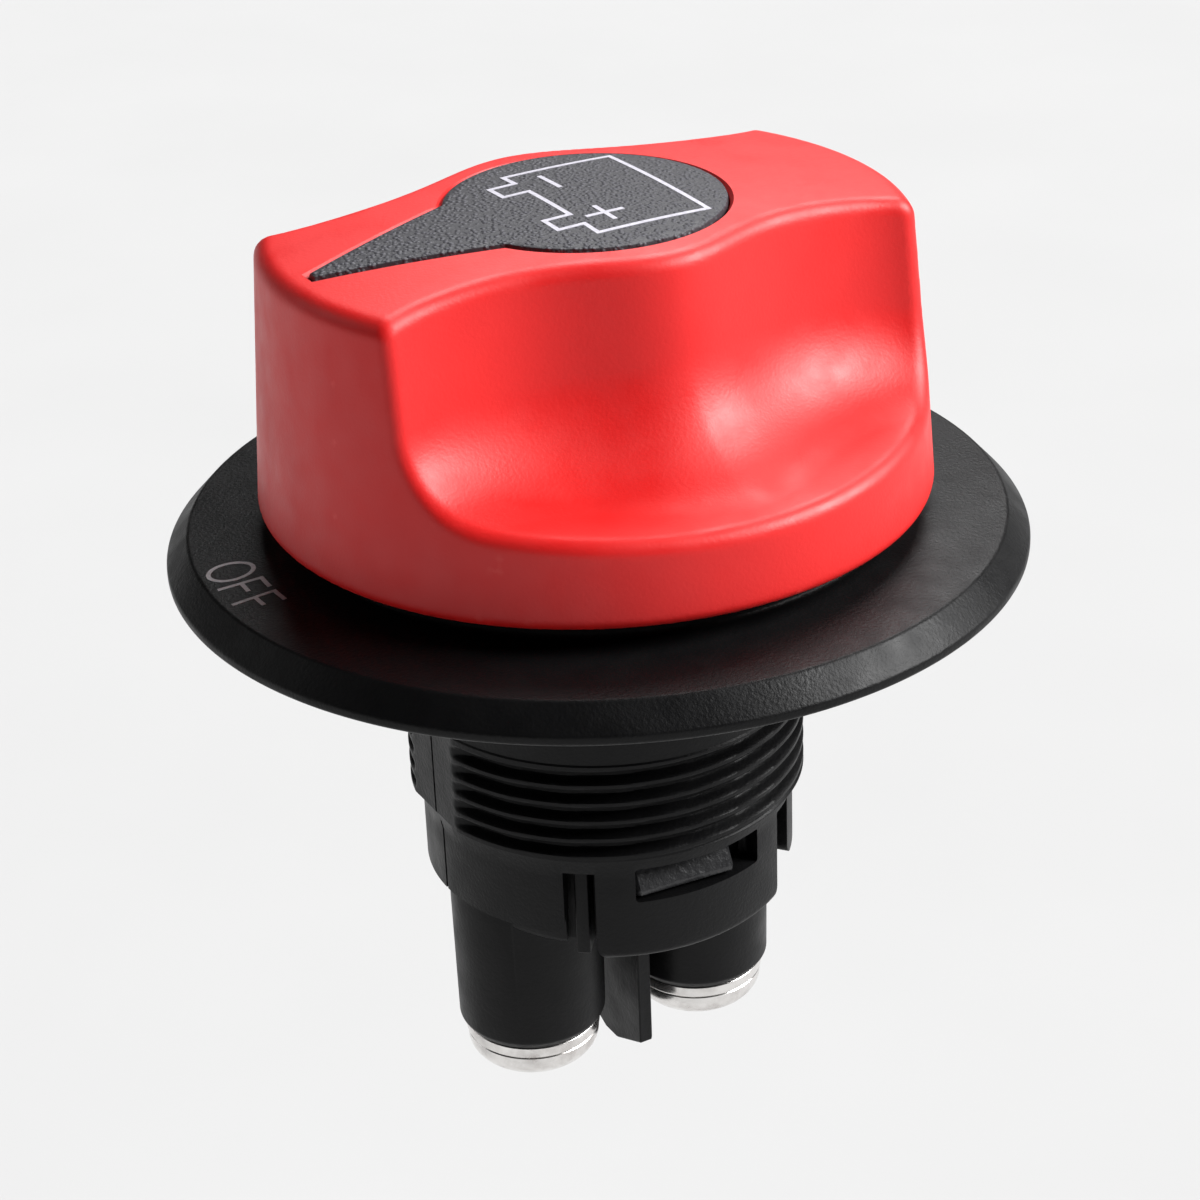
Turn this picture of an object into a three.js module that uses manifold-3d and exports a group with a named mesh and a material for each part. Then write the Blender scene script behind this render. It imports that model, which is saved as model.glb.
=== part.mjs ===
// Panel-mounted battery isolator switch. A quarter turn of the winged knob turns a face cam, which pushes a
// carriage with a copper bridge down onto two fixed contacts. The contacts sit on threaded terminal posts.
// Millimetres, +Z out of the panel along the knob's axis, origin on that axis in the panel's face.
// The knob is shown at OFF, with its pointer along -X; ON is a quarter turn clockwise, seen from above.
import * as THREE from "three";
import { mergeVertices } from "three/addons/utils/BufferGeometryUtils.js";
import Module from "manifold-3d";

const wasm = await Module();
wasm.setup();

// Driving dimensions.
const gap = 0.3; // left between pieces that touch
const runningGap = 0.4; // left between pieces that turn or slide on each other
const flangeRadius = 36;
const lipHeight = 0.3; // the flange's lip stands this far off the panel, on the gasket
const neckRadius = 17.2; // outside of the thread
const threadPitch = 1.7;
const threadTurns = 5;
const skirtRadius = 16.2;
const chamberRadius = 14.2; // inside of the neck
const shaftRadius = 6.8;
const knobRadius = 28.05; // at its lower rim
const knobTopRadius = 26.4; // under its top edge
const knobBottom = 5.5;
const knobTop = 29.95; // at the centre of the crowned top
const crownRadius = 186; // radius of the crown
const insertRadius = 11.4;
const pointerTip = 23.9;
const contactTravel = 5; // carriage travel in the knob's quarter turn
const terminalSpacing = 17.2; // between the two terminals' centres
const barrelRadius = 6.7;
const barrelEnd = -45.2;

const roundSides = 48;
const smallSides = 24;

// Materials: colour, roughness and metalness of each.
const finishes = {
  blackPlastic: [0x1b1b1d, 0.6, 0],
  redPlastic: [0xd21e20, 0.45, 0],
  greyPlastic: [0x3f3e45, 0.55, 0],
  whitePlastic: [0xd9d6cc, 0.5, 0],
  blackRubber: [0x151515, 0.9, 0],
  nickel: [0xc9c9cc, 0.25, 1],
  springSteel: [0x9b9ca0, 0.3, 1],
  brass: [0xb8934a, 0.35, 1],
  copper: [0xb8703f, 0.35, 1],
  silver: [0xdedede, 0.3, 1],
};

// A closed geometry as a manifold-3d solid, its faces turned outwards.
function solid(geometry) {
  const bare = new THREE.BufferGeometry();
  bare.setAttribute("position", geometry.getAttribute("position"));
  bare.setIndex(geometry.index);
  const merged = mergeVertices(bare, 1e-4);
  const vertProperties = merged.attributes.position.array;
  const triVerts = new Uint32Array(merged.index.array);
  const made = new wasm.Manifold(new wasm.Mesh({ numProp: 3, vertProperties, triVerts }));
  if (made.volume() > 0) return made;
  triVerts.reverse();
  return new wasm.Manifold(new wasm.Mesh({ numProp: 3, vertProperties, triVerts }));
}

// A manifold-3d solid as a three.js geometry.
function geometryOf(made) {
  const mesh = made.getMesh();
  const geometry = new THREE.BufferGeometry();
  geometry.setAttribute("position", new THREE.BufferAttribute(new Float32Array(mesh.vertProperties), 3));
  geometry.setIndex(new THREE.BufferAttribute(new Uint32Array(mesh.triVerts), 1));
  geometry.computeVertexNormals();
  return geometry;
}

const join = (...geometries) => geometryOf(geometries.map(solid).reduce((whole, next) => whole.add(next)));

const cut = (geometry, ...tools) =>
  geometryOf(tools.map(solid).reduce((whole, tool) => whole.subtract(tool), solid(geometry)));

const common = (first, second) => geometryOf(solid(first).intersect(solid(second)));

// A profile of [radius, height] points turned about the Z axis.
function turned(profile, sides = roundSides) {
  const points = profile.map(([radius, height]) => new THREE.Vector2(radius, height));
  return new THREE.LatheGeometry(points, sides).rotateX(Math.PI / 2);
}

const disc = (radius, low, high, sides = roundSides) =>
  turned([[0, low], [radius, low], [radius, high], [0, high]], sides);

const ring = (inner, outer, low, high, sides = roundSides) =>
  turned([[inner, low], [outer, low], [outer, high], [inner, high], [inner, low]], sides);

// A box given by its lowest and highest corners.
function box([x0, y0, z0], [x1, y1, z1]) {
  const block = new THREE.BoxGeometry(x1 - x0, y1 - y0, z1 - z0);
  return block.translate((x0 + x1) / 2, (y0 + y1) / 2, (z0 + z1) / 2);
}

// A flat outline pulled up from one height to another.
function prism(shape, low, high) {
  const settings = { depth: high - low, bevelEnabled: false, curveSegments: 12 };
  return new THREE.ExtrudeGeometry(shape, settings).translate(0, 0, low);
}

// A closed body through a row of flat outlines with equal numbers of points.
// place(u, v, i) puts a point of outline i in space.
function loft(outlines, place) {
  const flat = (outline) => outline.map(([u, v]) => new THREE.Vector2(u, v));
  if (THREE.ShapeUtils.area(flat(outlines[0])) < 0) outlines.forEach((outline) => outline.reverse());
  const size = outlines[0].length;
  const positions = outlines.flatMap((outline, i) => outline.flatMap(([u, v]) => place(u, v, i)));
  const faces = [];
  for (let i = 0; i + 1 < outlines.length; i += 1) {
    for (let j = 0; j < size; j += 1) {
      const here = i * size + j;
      const next = i * size + ((j + 1) % size);
      faces.push(here, next, next + size, here, next + size, here + size);
    }
  }
  const cap = (outline) => THREE.ShapeUtils.triangulateShape(flat(outline), []);
  const last = (outlines.length - 1) * size;
  cap(outlines[0]).forEach(([a, b, c]) => faces.push(c, b, a));
  cap(outlines[outlines.length - 1]).forEach(([a, b, c]) => faces.push(last + a, last + b, last + c));
  const geometry = new THREE.BufferGeometry();
  geometry.setAttribute("position", new THREE.BufferAttribute(new Float32Array(positions), 3));
  geometry.setIndex(faces);
  return geometryOf(solid(geometry));
}

// A wire wound on the Z axis between two heights.
class Helix extends THREE.Curve {
  constructor(radius, low, high, turns) {
    super();
    Object.assign(this, { radius, low, high, turns });
  }
  getPoint(t, target = new THREE.Vector3()) {
    const angle = 2 * Math.PI * this.turns * t;
    const height = THREE.MathUtils.lerp(this.low, this.high, t);
    return target.set(this.radius * Math.cos(angle), this.radius * Math.sin(angle), height);
  }
}

function coilSpring(radius, wireRadius, low, high, turns) {
  const section = new THREE.Shape().absarc(0, 0, wireRadius, 0, 2 * Math.PI);
  const inset = wireRadius + 0.1; // keeps the tilted wire inside the two heights
  const extrudePath = new Helix(radius, low + inset, high - inset, turns);
  const steps = turns * 12;
  return new THREE.ExtrudeGeometry(section, { steps, extrudePath, bevelEnabled: false, curveSegments: 3 });
}

const root = new THREE.Group();

function piece(name, finish, geometry) {
  const [color, roughness, metalness] = finishes[finish];
  const mesh = new THREE.Mesh(geometry, new THREE.MeshStandardMaterial({ color, roughness, metalness }));
  mesh.name = name;
  root.add(mesh);
}

// Housing: flange, collar under the knob, threaded neck and snap skirt in one moulding.
const flangeTop = 3.2; // at the inner edge of the bevel
const flangeTopInner = 3.7; // where the flange meets the collar
const bevelRadius = 34.1;
const collarRadius = 25.2;
const collarTop = 7.5;
const gasketInner = 19;
const gasketOuter = 33;
const gasketTop = 1.3;
const threadTop = -13;
const threadBottom = threadTop - threadPitch * threadTurns;
const threadDepth = 0.9;
const chamberTop = 2;
const skirtBottom = -29.5;
const tabBottom = -32;
const stepRadius = skirtRadius + 0.4; // below the thread, down to the skirt
const moreThanRadius = 20; // beyond the neck, for tools that cut right through it

function housing() {
  const thread = [];
  for (let turn = 0; turn < threadTurns; turn += 1) {
    const crest = threadTop - threadPitch * (turn + 0.5);
    const crestHalf = 0.15;
    thread.unshift([neckRadius, crest + crestHalf], [neckRadius - threadDepth, crest + threadPitch / 2]);
    thread.unshift([neckRadius, crest - crestHalf]);
  }
  const body = turned([
    [chamberRadius, tabBottom],
    [skirtRadius - 0.4, tabBottom],
    [skirtRadius, tabBottom + 0.6],
    [skirtRadius, threadBottom - 2],
    [stepRadius, threadBottom - 1.6],
    [stepRadius, threadBottom - 0.5],
    ...thread,
    [neckRadius - 0.1, threadTop + 0.3],
    [neckRadius - 0.1, lipHeight],
    [gasketInner - gap, lipHeight],
    [gasketInner - gap, gasketTop + gap],
    [gasketOuter + gap, gasketTop + gap],
    [gasketOuter + gap, lipHeight],
    [flangeRadius - 0.4, lipHeight],
    [flangeRadius, lipHeight + 0.4],
    [flangeRadius, lipHeight + 0.8],
    [bevelRadius, flangeTop],
    [collarRadius, flangeTopInner],
    [collarRadius, collarTop],
    [shaftRadius + runningGap, collarTop],
    [shaftRadius + runningGap, chamberTop],
    [chamberRadius, chamberTop],
    [chamberRadius, tabBottom],
  ]);
  const cuts = [];
  // Flats along both sides of the thread, where the two halves of the mould meet.
  const flat = 16.75;
  const flatHalf = 8;
  const flatLow = threadBottom - 1.2;
  const flatHigh = lipHeight - 0.01;
  for (const turn of [0, Math.PI]) {
    cuts.push(box([flat, -flatHalf, flatLow], [neckRadius + 1, flatHalf, flatHigh]).rotateZ(turn));
  }
  // Four slots free the two spring tabs, and each tab has a window for its snap hook.
  const slotAngle = THREE.MathUtils.degToRad(38.5);
  const slotWidth = 2.7;
  const slotTop = -23.4;
  const underTabs = tabBottom - 1;
  // A box through the wall at +Y, centred on x = 0.
  const [within, beyond] = [chamberRadius - 1, skirtRadius + 1];
  const throughWall = (half, low, high) => box([-half, within, low], [half, beyond, high]);
  const tabHalf = skirtRadius * Math.sin(slotAngle);
  for (const turn of [0, Math.PI]) {
    for (const tilt of [-slotAngle, slotAngle]) {
      cuts.push(throughWall(slotWidth / 2, underTabs, slotTop).rotateZ(turn + tilt));
    }
    cuts.push(throughWall(windowHalf, windowLow, windowHigh).rotateZ(turn));
    // Between the tabs the skirt ends higher up.
    const beside = box([tabHalf, -moreThanRadius, underTabs], [moreThanRadius, moreThanRadius, skirtBottom]);
    cuts.push(beside.rotateZ(turn));
  }
  return cut(body, ...cuts);
}

// Terminal base: plug with guide wall, two terminal barrels, divider fin and snap hooks.
const windowHalf = 6;
const windowLow = -26.4;
const windowHigh = -23.1;
const plugRadius = chamberRadius - runningGap;
const guideRadius = 12.2; // inside of the guide wall
const guideTop = -8.2;
const floorTop = -27.5;
const floorBottom = -32.2;
const barrelTop = skirtBottom - gap;
const terminalX = terminalSpacing / 2;
const postRadius = 4.2;
const postNeckRadius = 3.3;
const postShoulder = -28.8;
const keyHalf = 1.6;
const keyLow = -12.2;

// The fin between the barrels, in the plane between them.
const finHalf = 5.4;
const finThickness = 1.3;
const finEndLow = -48.8;
const finLow = -50.8;

function dividerFin() {
  const top = floorBottom + 1;
  const outline = new THREE.Shape();
  outline.moveTo(-finHalf, top);
  outline.lineTo(-finHalf, finEndLow);
  outline.lineTo(-1, finLow);
  outline.lineTo(1, finLow);
  outline.lineTo(finHalf, finEndLow);
  outline.lineTo(finHalf, top);
  return prism(outline, -finThickness / 2, finThickness / 2).rotateY(Math.PI / 2).rotateX(Math.PI / 2);
}

// A snap hook at +Y: its ramp faces up, and its flat end catches on the window's lower edge.
function snapHook() {
  const span = [-3.4, 5.7];
  const out = 2.4;
  const height = windowHigh - windowLow - 2 * gap;
  const outline = () => [[0, 0], [0.8, 0], [out, 0.8 - height], [out, -height], [0, -height]];
  const inside = plugRadius - 0.5;
  return loft([outline(), outline()], (u, v, i) => [span[i], inside + u, windowHigh - gap + v]);
}

const springPostRadius = 2.1;
const springPostTop = -21;

function terminalBase() {
  const parts = [
    disc(plugRadius, floorBottom, floorTop),
    ring(guideRadius, plugRadius, floorTop - 1, guideTop),
    disc(springPostRadius, floorTop - 1, springPostTop, smallSides),
    dividerFin(),
  ];
  const cuts = [];
  const slotHalf = keyHalf + runningGap;
  const slotLow = keyLow - contactTravel - runningGap;
  for (const side of [-1, 1]) {
    const turn = side > 0 ? 0 : Math.PI;
    const atTerminal = (geometry) => geometry.translate(side * terminalX, 0, 0);
    const barrel = turned([
      [0, barrelEnd],
      [barrelRadius - 0.7, barrelEnd],
      [barrelRadius - 0.1, barrelEnd + 1],
      [barrelRadius, barrelTop],
      [0, barrelTop],
    ]);
    parts.push(atTerminal(barrel), snapHook().rotateZ(turn));
    cuts.push(
      atTerminal(disc(postRadius + gap, barrelEnd - 1, postShoulder + gap, smallSides)),
      atTerminal(disc(postNeckRadius + gap, postShoulder, floorTop + 1, smallSides)),
      box([-slotHalf, guideRadius - 1, slotLow], [slotHalf, plugRadius + 1, guideTop + 1]).rotateZ(turn),
    );
  }
  return cut(join(...parts), ...cuts);
}

// Knob: drafted round skirt with a bar across it, left between two scooped finger hollows.
const crownHeight = (radius) => knobTop - radius ** 2 / (2 * crownRadius);
const hollowFloor = 12.2; // at the knob's rim
const hollowFloorSlope = 0.1;
const wallDraft = 0.14;
const barWaist = 10.2;
const barBulge = 4.3;
const barBulgeLength = 8.6;
const barFlare = 1.3;
const barFlareAt = 23;
const filletAtMiddle = 7.5;
const filletAtEnds = 6;

// Half the bar's width at its top, at distance s from the axis along the bar.
function barHalfWidth(s) {
  const bulge = barBulge * Math.exp(-((s / barBulgeLength) ** 2));
  const flare = barFlare * (Math.min(Math.abs(s), 24) / barFlareAt) ** 8;
  return barWaist + bulge + flare;
}

// One finger hollow: a steep wall that follows the bar, a round fillet and a floor that falls to the rim.
function fingerHollow() {
  const reach = 31; // past the knob's rim
  const top = 33; // above the knob
  const step = 2;
  const filletSteps = 7;
  const outlines = [];
  for (let s = -reach; s <= reach; s += step) {
    const filletRadius = THREE.MathUtils.lerp(filletAtMiddle, filletAtEnds, Math.min(1, Math.abs(s) / 22));
    const wall = (height) => barHalfWidth(s) + wallDraft * (knobTop - height);
    const floor = (out) => hollowFloor + hollowFloorSlope * (knobRadius - out);
    const wallLean = Math.atan(wallDraft);
    const floorLean = Math.atan(hollowFloorSlope);
    // Centre of the circle that touches the wall and the floor.
    const offsetWall = filletRadius / Math.cos(wallLean);
    const offsetFloor = filletRadius / Math.cos(floorLean);
    const height = (floor(wall(0) + offsetWall) + offsetFloor) / (1 - hollowFloorSlope * wallDraft);
    const centre = [wall(height) + offsetWall, height];
    const outline = [[wall(top), top]];
    for (let k = 0; k <= filletSteps; k += 1) {
      const angle = THREE.MathUtils.lerp(Math.PI + wallLean, 1.5 * Math.PI - floorLean, k / filletSteps);
      outline.push([centre[0] + filletRadius * Math.cos(angle), centre[1] + filletRadius * Math.sin(angle)]);
    }
    outline.push([reach + 2, floor(reach + 2)], [reach + 2, top]);
    outlines.push(outline);
  }
  return loft(outlines, (out, up, i) => [-reach + step * i, out, up]);
}

// The layer between two depths under the crowned top.
function crownLayer(lower, upper) {
  const radii = [0, 6, 12, 17, 21, 25];
  const rise = radii.map((radius) => [radius, crownHeight(radius) + lower]);
  const fall = radii.toReversed().map((radius) => [radius, crownHeight(radius) + upper]);
  return turned([...rise, ...fall]);
}

// Outline of the round insert with its pointer along -X, let out by grow.
function insertOutline(grow) {
  const neckHalf = 5.4 + grow;
  const radius = insertRadius + grow;
  const meets = Math.PI - Math.asin(neckHalf / radius);
  const tipHalf = 0.5 + grow;
  const outline = new THREE.Shape();
  outline.moveTo(-pointerTip - grow, -tipHalf);
  outline.lineTo(radius * Math.cos(meets), -neckHalf);
  outline.absarc(0, 0, radius, -meets, meets);
  outline.lineTo(-pointerTip - grow, tipHalf);
  return outline;
}

const insertThickness = 1.3;
const insertProud = 0.15;
const insertRecess = insertThickness - insertProud + gap;
const cavityCeiling = 9;
const squareHalf = 3.8; // the shaft's square end
const socketHalf = squareHalf + 0.35;
const socketTop = 19;
const screwHoleRadius = 1.8;
const screwHeadSeat = 24.6;
const pocketHalfLength = 2.4;
const pocketHalfWidth = 6;
const pocketTop = 24;

function knob() {
  const crown = [25.6, 20, 14, 8].map((radius) => [radius, crownHeight(radius)]);
  const blank = turned([
    [0, knobBottom],
    [knobRadius - 0.5, knobBottom],
    [knobRadius, knobBottom + 0.5],
    [knobTopRadius, crownHeight(knobTopRadius) - 0.8],
    ...crown,
    [0, knobTop],
  ], 64);
  const cuts = [
    fingerHollow(),
    fingerHollow().rotateZ(Math.PI),
    disc(collarRadius + runningGap, knobBottom - 1, cavityCeiling),
    box([-socketHalf, -socketHalf, cavityCeiling - 1], [socketHalf, socketHalf, socketTop]),
    disc(screwHoleRadius, socketTop - 1, screwHeadSeat + 1, smallSides),
    disc(4, screwHeadSeat, knobTop, smallSides),
    common(prism(insertOutline(gap), 20, 40), crownLayer(-insertRecess, 5)),
  ];
  // Cored pockets keep the bar's walls thin.
  for (const x of [-18.75, -12.75, 12.75, 18.75]) {
    const low = [x - pocketHalfLength, -pocketHalfWidth, cavityCeiling - 1];
    cuts.push(box(low, [x + pocketHalfLength, pocketHalfWidth, pocketTop]));
  }
  return cut(blank, ...cuts);
}

const knobInsert = () =>
  common(prism(insertOutline(0), 20, 40), crownLayer(insertProud - insertThickness, insertProud));

function knobScrew() {
  const seat = screwHeadSeat + gap;
  const headHigh = seat + 2.4;
  const headRadius = 3.5;
  const shankRadius = 1.4;
  const tip = 10.5;
  const screw = turned([
    [0, tip],
    [shankRadius, tip + 0.7],
    [shankRadius, seat],
    [headRadius, seat],
    [headRadius, seat + 1.6],
    [headRadius - 0.9, headHigh],
    [0, headHigh],
  ], smallSides);
  return cut(screw, ...crossRecess(headHigh, 3.6));
}

// Two crossed slots from the given height down, for a cross-head driver.
function crossRecess(height, length) {
  const low = [-length / 2, -0.45, height - 1.5];
  const high = [length / 2, 0.45, height + 1];
  return [box(low, high), box(low, high).rotateZ(Math.PI / 2)];
}

// Drive shaft with its face cam. Each of two ramps grows thicker over the quarter turn and pushes a lug down.
const camRadius = 12.6;
const camDiscLow = -1.1;
const rampStart = -2.2;
const rampPerDegree = contactTravel / 90;
const rampInner = 8.3;
const shoulderTop = chamberTop - runningGap;

const rampHeight = (degrees) => rampStart - rampPerDegree * degrees;

// A block round the axis between two radii and two angles, from one height function to another.
function sector(inner, outer, fromDegrees, toDegrees, lower, upper) {
  const steps = Math.ceil((toDegrees - fromDegrees) / 6);
  const angles = [];
  for (let i = 0; i <= steps; i += 1) {
    angles.push(THREE.MathUtils.lerp(fromDegrees, toDegrees, i / steps));
  }
  const outlines = angles.map((degrees) => [
    [inner, lower(degrees)],
    [outer, lower(degrees)],
    [outer, upper(degrees)],
    [inner, upper(degrees)],
  ]);
  return loft(outlines, (radius, height, i) => {
    const angle = THREE.MathUtils.degToRad(angles[i]);
    return [radius * Math.cos(angle), radius * Math.sin(angle), height];
  });
}

function driveShaft() {
  const sealGrooveLow = 3.4;
  const sealGrooveHigh = 5.6;
  const sealGrooveRadius = 5;
  const shaft = turned([
    [0, camDiscLow],
    [camRadius, camDiscLow],
    [camRadius, shoulderTop],
    [shaftRadius, shoulderTop],
    [shaftRadius, sealGrooveLow],
    [sealGrooveRadius, sealGrooveLow],
    [sealGrooveRadius, sealGrooveHigh],
    [shaftRadius, sealGrooveHigh],
    [shaftRadius, cavityCeiling - runningGap],
    [0, cavityCeiling - runningGap],
  ]);
  const ramp = () => sector(rampInner, camRadius, -12, 102, rampHeight, () => camDiscLow + 0.5);
  const squareLow = cavityCeiling - 1;
  const square = box([-squareHalf, -squareHalf, squareLow], [squareHalf, squareHalf, socketTop - gap]);
  const whole = join(shaft, square, ramp(), ramp().rotateZ(Math.PI));
  return cut(whole, disc(screwHoleRadius, cavityCeiling, socketTop + 1, smallSides));
}

// Contact carriage: disc with two guide keys, two lugs under the cam, a spring turret and a window for the
// bridge.
const discHigh = -8.2;
const carriageRadius = guideRadius - runningGap;
const blockLow = -15.5;
const bridgeHigh = -11.4;
const bridgeLow = -13.4;
const bridgeHalfWidth = 3;
const bridgeHalfLength = 11.3;
const springPocketTop = -3.2;
const springPocketRadius = 4;
const turretRadius = 6;

function contactCarriage() {
  const lugTop = (degrees) => rampHeight(degrees) - runningGap;
  const lug = () => sector(rampInner + 0.6, camRadius - 1, -8, 8, () => discHigh - 1, lugTop);
  const keyOut = plugRadius - 0.6;
  const key = () => box([-keyHalf, carriageRadius - 1.5, keyLow], [keyHalf, keyOut, discHigh]);
  const whole = join(
    disc(carriageRadius, keyLow, discHigh),
    disc(turretRadius, discHigh - 1, camDiscLow - runningGap - 0.1),
    box([-5.5, -5, blockLow], [5.5, 5, keyLow + 1]),
    lug(),
    lug().rotateZ(Math.PI),
    key(),
    key().rotateZ(Math.PI),
  );
  const slackHalf = bridgeHalfWidth + gap;
  const window = box([-14, -slackHalf, bridgeLow - gap], [14, slackHalf, bridgeHigh + gap]);
  return cut(whole, window, disc(springPocketRadius, bridgeHigh, springPocketTop, smallSides));
}

// Terminal hardware, centred on the Z axis.
const terminalPost = () =>
  cut(
    turned([
      [0, barrelEnd],
      [postRadius, barrelEnd],
      [postRadius, postShoulder],
      [postNeckRadius, postShoulder],
      [postNeckRadius, fixedContactLow - gap],
      [0, fixedContactLow - gap],
    ], smallSides),
    disc(3, barrelEnd - 1, -33, smallSides),
  );

const washerTop = barrelEnd - gap;
const washerLow = washerTop - 0.8;
const washerRadius = 6;
const washerHole = 3.2;
const headTop = washerLow - gap;
const headBottom = -49.3;
const headRadius = 5.9;
const domeRadius = 3.5; // of the quarter round at the head's edge
const domeHeight = 2.4;
const shankRadius = 2.65;
const shankTop = -35;

function terminalScrew() {
  const domeSteps = 5;
  const dome = [];
  for (let step = 0; step <= domeSteps; step += 1) {
    const angle = ((Math.PI / 2) * step) / domeSteps;
    const radius = headRadius - domeRadius + domeRadius * Math.sin(angle);
    dome.push([radius, headBottom + domeHeight * (1 - Math.cos(angle))]);
  }
  const screw = turned([
    [0, headBottom],
    ...dome,
    [headRadius, headTop],
    [shankRadius, headTop],
    [shankRadius, shankTop - 0.6],
    [shankRadius - 0.55, shankTop],
    [0, shankTop],
  ], smallSides);
  return cut(screw, ...crossRecess(headBottom + 0.5, 5));
}

// Fixed and moving contact buttons.
const movingContactHigh = bridgeLow - gap;
const movingContactLow = movingContactHigh - 1.2;
const fixedContactHigh = movingContactLow - contactTravel - gap;
const fixedContactLow = fixedContactHigh - 1.2;

const contactButton = (radius, low, high, crownUp) =>
  turned(
    crownUp
      ? [[0, low], [radius, low], [radius, high - 0.3], [radius - 0.8, high], [0, high]]
      : [[0, low], [radius - 0.8, low], [radius, low + 0.3], [radius, high], [0, high]],
    smallSides,
  );

const shaftSeal = () => new THREE.TorusGeometry(6.1, 0.8, 6, 24).translate(0, 0, 4.5);

function contactBridge() {
  const low = [-bridgeHalfLength, -bridgeHalfWidth, bridgeLow];
  return box(low, [bridgeHalfLength, bridgeHalfWidth, bridgeHigh]);
}

piece("housing", "blackPlastic", housing());
piece("flange_gasket", "blackRubber", ring(gasketInner, gasketOuter, 0, gasketTop));
piece("terminal_base", "blackPlastic", terminalBase());
piece("knob", "redPlastic", knob());
piece("knob_insert", "greyPlastic", knobInsert());
piece("knob_screw", "nickel", knobScrew());
piece("drive_shaft", "whitePlastic", driveShaft());
piece("shaft_seal", "blackRubber", shaftSeal());
piece("contact_carriage", "whitePlastic", contactCarriage());
piece("contact_spring", "springSteel", coilSpring(3.1, 0.4, bridgeHigh + gap, springPocketTop - gap, 4));
piece("contact_bridge", "copper", contactBridge());
piece("return_spring", "springSteel", coilSpring(2.95, 0.35, floorTop + gap, blockLow - gap, 6));
for (const [end, x] of [["a", -terminalX], ["b", terminalX]]) {
  const hardware = [
    ["moving_contact", "silver", contactButton(2.6, movingContactLow, movingContactHigh, false)],
    ["fixed_contact", "silver", contactButton(3, fixedContactLow, fixedContactHigh, true)],
    ["terminal_post", "brass", terminalPost()],
    ["terminal_washer", "nickel", ring(washerHole, washerRadius, washerLow, washerTop, smallSides)],
    ["terminal_screw", "nickel", terminalScrew()],
  ];
  for (const [name, finish, geometry] of hardware) {
    piece(`${name}_${end}`, finish, geometry.translate(x, 0, 0));
  }
}

export default root;
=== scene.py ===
"""Battery isolator switch: the visible surfaces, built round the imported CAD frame.

Shapes are worked out in millimetres in the part's own frame (+Z out of the panel, pointer along -X at OFF)
and turned into metres when a mesh is made.
"""
import math

import bmesh
import bpy
import numpy as np
from mathutils import Matrix, Vector
from mathutils.geometry import delaunay_2d_cdt


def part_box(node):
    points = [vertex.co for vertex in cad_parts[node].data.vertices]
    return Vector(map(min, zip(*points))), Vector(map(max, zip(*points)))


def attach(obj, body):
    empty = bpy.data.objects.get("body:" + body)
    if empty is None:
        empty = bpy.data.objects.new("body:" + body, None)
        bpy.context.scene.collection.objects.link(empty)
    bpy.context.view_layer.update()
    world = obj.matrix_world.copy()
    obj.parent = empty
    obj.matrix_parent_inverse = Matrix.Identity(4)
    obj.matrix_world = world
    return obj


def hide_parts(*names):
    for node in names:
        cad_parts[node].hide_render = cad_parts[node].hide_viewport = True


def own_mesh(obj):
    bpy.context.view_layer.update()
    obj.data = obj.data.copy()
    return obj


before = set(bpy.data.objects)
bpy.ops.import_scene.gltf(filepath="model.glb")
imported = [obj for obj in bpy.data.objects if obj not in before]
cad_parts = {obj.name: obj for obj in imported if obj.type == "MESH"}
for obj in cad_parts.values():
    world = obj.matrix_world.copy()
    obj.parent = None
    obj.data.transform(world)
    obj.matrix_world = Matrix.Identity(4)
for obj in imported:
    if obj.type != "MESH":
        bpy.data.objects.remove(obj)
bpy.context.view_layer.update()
MM = 0.001


def reach(node, axis, top=True):
    """How far a CAD node reaches along an axis, in millimetres."""
    low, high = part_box(node)
    return (high if top else low)[axis] / MM


# Small gaps and thicknesses, in millimetres.
LIP_HEIGHT = 0.3
INSERT_PROUD = 0.15
INSERT_THICKNESS = 1.3
INSERT_GAP = 0.16
HAIR_GAP = 0.02

# Sizes from the frame, in millimetres.
FLANGE_R = reach("housing", 0)
LIP_Z = reach("flange_gasket", 2, top=False) + LIP_HEIGHT
KNOB_R = reach("knob", 0)
KNOB_LOW = reach("knob", 2, top=False)
KNOB_TOP = reach("knob_insert", 2) - INSERT_PROUD
COLLAR_TOP = reach("housing", 2)
TAB_LOW = reach("housing", 2, top=False)
GASKET_R = reach("flange_gasket", 0)
GASKET_TOP = reach("flange_gasket", 2)
TERMINAL_X = (reach("terminal_post_b", 0) + reach("terminal_post_b", 0, top=False)) / 2
BARREL_END = reach("terminal_post_b", 2, top=False)
BARREL_R = reach("terminal_base", 0) - TERMINAL_X
FIN_LOW = reach("terminal_base", 2, top=False)
POST_R = (reach("terminal_post_b", 0) - reach("terminal_post_b", 0, top=False)) / 2
WASHER_R = reach("terminal_washer_b", 0) - TERMINAL_X
WASHER_LOW = reach("terminal_washer_b", 2, top=False)
SCREW_LOW = reach("terminal_screw_b", 2, top=False)
SCREW_TOP = reach("terminal_screw_b", 2)
HEAD_TOP = WASHER_LOW - HAIR_GAP
WASHER_SEAT = BARREL_END - HAIR_GAP
POST_TOP = reach("terminal_post_b", 2)
INSERT_R = reach("knob_insert", 1)
POINTER_TIP = -reach("knob_insert", 0, top=False)

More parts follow.
